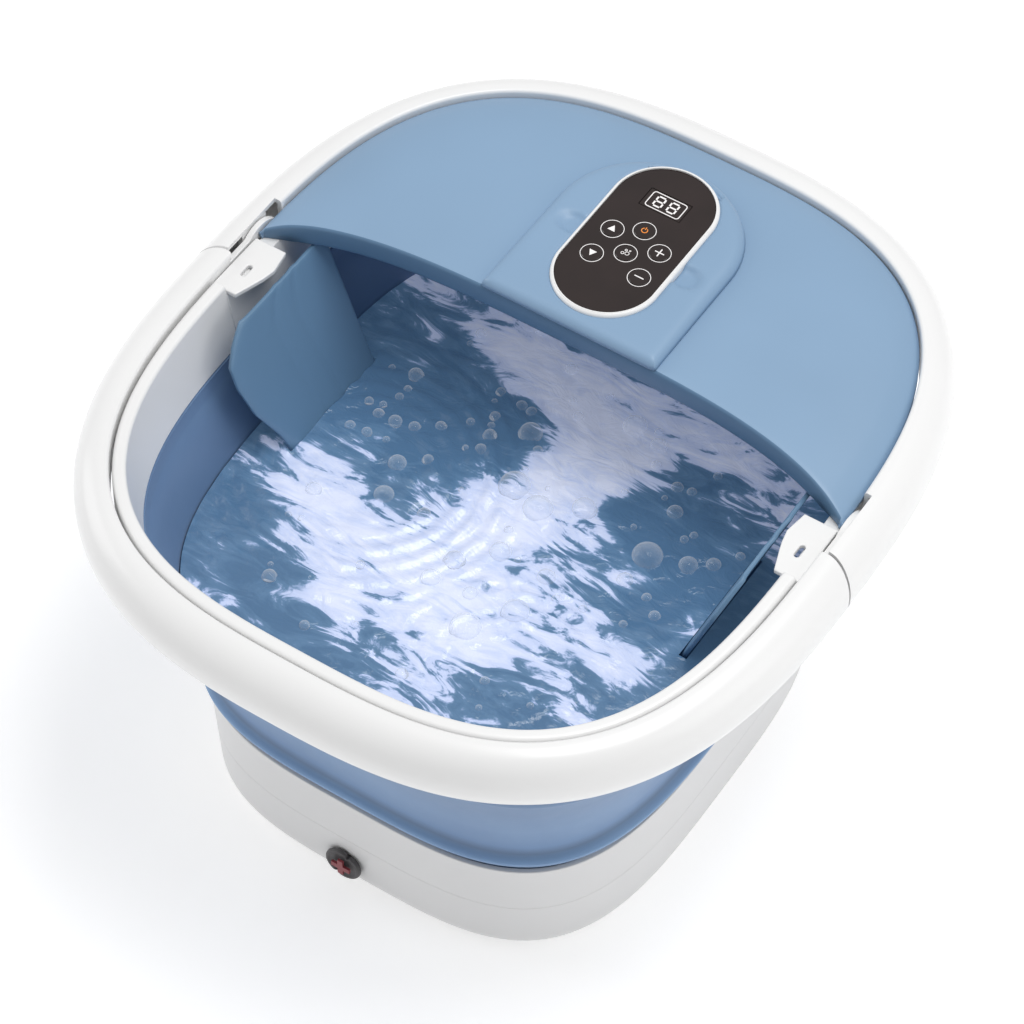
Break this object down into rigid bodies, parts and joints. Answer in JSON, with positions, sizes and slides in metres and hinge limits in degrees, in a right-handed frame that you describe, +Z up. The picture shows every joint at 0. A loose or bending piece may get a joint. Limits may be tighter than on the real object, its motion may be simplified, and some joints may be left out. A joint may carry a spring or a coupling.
{
  "type": "foot spa basin",
  "caption": "Collapsible foot spa tub with a blue folding wall, white rim with swing-up bail handle, lift-off lid, remote in a pocket, massage rollers, heater and air bubbles.",
  "frame": {"origin": "on the floor, at the middle of the base's underside box", "axes": "+Z up, +Y towards the lid end and the long way of the oval, +X to the user's right when facing the lid"},
  "size_m": [0.38, 0.4222, 0.261],
  "materials": {
    "white_shell": "smooth satin-gloss moulded white plastic",
    "lid_blue": "fine satin moulded light blue plastic",
    "deep_blue_plastic": "satin slate blue moulded plastic",
    "bellows_blue": "soft silky blue thermoplastic elastomer",
    "remote_gloss": "very glossy brown-black acrylic with pale printed rings",
    "grey_plastic": "matte dark grey moulded plastic",
    "red_plastic": "matte dull red moulded plastic",
    "black_plastic": "matte black moulded plastic",
    "black_rubber": "matte black rubber",
    "steel": "brushed stainless steel",
    "heater_aluminium": "plain rolled aluminium",
    "circuit_board": "green solder-masked board",
    "water": "clear rippled water with froth patches"
  },
  "bodies": {
    "base": {"base_shell": "white_shell", "bottom_cover": "white_shell", "foot_tub": "deep_blue_plastic", "bellows": "bellows_blue", "bellows_clamp_lower": "white_shell", "heater_plate": "heater_aluminium", "thermostat": "black_plastic", "air_pump": "black_plastic", "air_hose": "black_rubber", "control_board": "circuit_board", "bubble_strip_left": "deep_blue_plastic", "bubble_strip_right": "deep_blue_plastic", "drain_port": "grey_plastic", "cord_gland": "black_plastic", "roller_axle_left": "steel", "roller_axle_right": "steel", "roller_bracket_left": "deep_blue_plastic", "roller_bracket_right": "deep_blue_plastic", "foot_front_left": "black_rubber", "foot_front_right": "black_rubber", "foot_rear_left": "black_rubber", "foot_rear_right": "black_rubber", "bottom_screw_front_left": "steel", "bottom_screw_front_right": "steel", "bottom_screw_rear_left": "steel", "bottom_screw_rear_right": "steel"},
    "drain_plug": {"drain_plug": "grey_plastic", "drain_plug_tab": "red_plastic"},
    "roller_left": {"roller_left": "deep_blue_plastic"},
    "roller_right": {"roller_right": "deep_blue_plastic"},
    "rim": {"rim_frame": "white_shell", "rear_rim_shell": "white_shell", "bellows_clamp_upper": "white_shell", "hinge_shelf_left": "white_shell", "hinge_shelf_right": "white_shell", "side_guard_left": "deep_blue_plastic", "side_guard_right": "deep_blue_plastic", "pivot_pin_left": "steel", "pivot_pin_right": "steel"},
    "handle": {"carry_handle": "white_shell"},
    "cover": {"front_cover": "lid_blue", "remote_cradle": "lid_blue"},
    "remote": {"remote_back_case": "white_shell", "remote_bezel": "white_shell", "remote_face": "remote_gloss", "display": "remote_gloss", "remote_board": "circuit_board", "coin_cell": "steel"},
    "battery_cap": {"battery_cap": "white_shell"},
    "key_time_up": {"key_time_up": "remote_gloss"},
    "key_time_down": {"key_time_down": "remote_gloss"},
    "key_power": {"key_power": "remote_gloss"},
    "key_bubble": {"key_bubble": "remote_gloss"},
    "key_temp_up": {"key_temp_up": "remote_gloss"},
    "key_temp_down": {"key_temp_down": "remote_gloss"}
  },
  "joints": [
    {"name": "rim_collapse", "type": "slide", "parent": "base", "child": "rim", "axis": [0, 0, -1], "range_m": [0, 0.085], "deforming": ["bellows"]},
    {"name": "handle_swing", "type": "hinge", "parent": "rim", "child": "handle", "pos_m": [0, 0.022, 0.226], "axis": [-1, 0, 0], "range_deg": [0, 95]},
    {"name": "cover_lift", "type": "slide", "parent": "rim", "child": "cover", "axis": [0, 0, 1], "range_m": [0, 0.035]},
    {"name": "remote_lift", "type": "slide", "parent": "cover", "child": "remote", "axis": [0, 0, 1], "range_m": [0, 0.06]},
    {"name": "battery_cap_turn", "type": "hinge", "parent": "remote", "child": "battery_cap", "pos_m": [0, 0.094, 0.247], "axis": [0, 0, 1], "range_deg": [0, 60]},
    {"name": "drain_plug_pull", "type": "slide", "parent": "base", "child": "drain_plug", "axis": [0, -1, 0], "range_m": [0, 0.03]},
    {"name": "roller_left_spin", "type": "hinge", "parent": "base", "child": "roller_left", "pos_m": [-0.069, 0.05, 0.055], "axis": [1, 0, 0], "continuous": true},
    {"name": "roller_right_spin", "type": "hinge", "parent": "base", "child": "roller_right", "pos_m": [0.069, 0.05, 0.055], "axis": [1, 0, 0], "continuous": true},
    {"name": "key_time_up_press", "type": "slide", "parent": "remote", "child": "key_time_up", "axis": [0, 0, -1], "range_m": [0, 0.0006], "stiffness_N_per_m": 600},
    {"name": "key_time_down_press", "type": "slide", "parent": "remote", "child": "key_time_down", "axis": [0, 0, -1], "range_m": [0, 0.0006], "stiffness_N_per_m": 600},
    {"name": "key_power_press", "type": "slide", "parent": "remote", "child": "key_power", "axis": [0, 0, -1], "range_m": [0, 0.0006], "stiffness_N_per_m": 600},
    {"name": "key_bubble_press", "type": "slide", "parent": "remote", "child": "key_bubble", "axis": [0, 0, -1], "range_m": [0, 0.0006], "stiffness_N_per_m": 600},
    {"name": "key_temp_up_press", "type": "slide", "parent": "remote", "child": "key_temp_up", "axis": [0, 0, -1], "range_m": [0, 0.0006], "stiffness_N_per_m": 600},
    {"name": "key_temp_down_press", "type": "slide", "parent": "remote", "child": "key_temp_down", "axis": [0, 0, -1], "range_m": [0, 0.0006], "stiffness_N_per_m": 600}
  ]
}
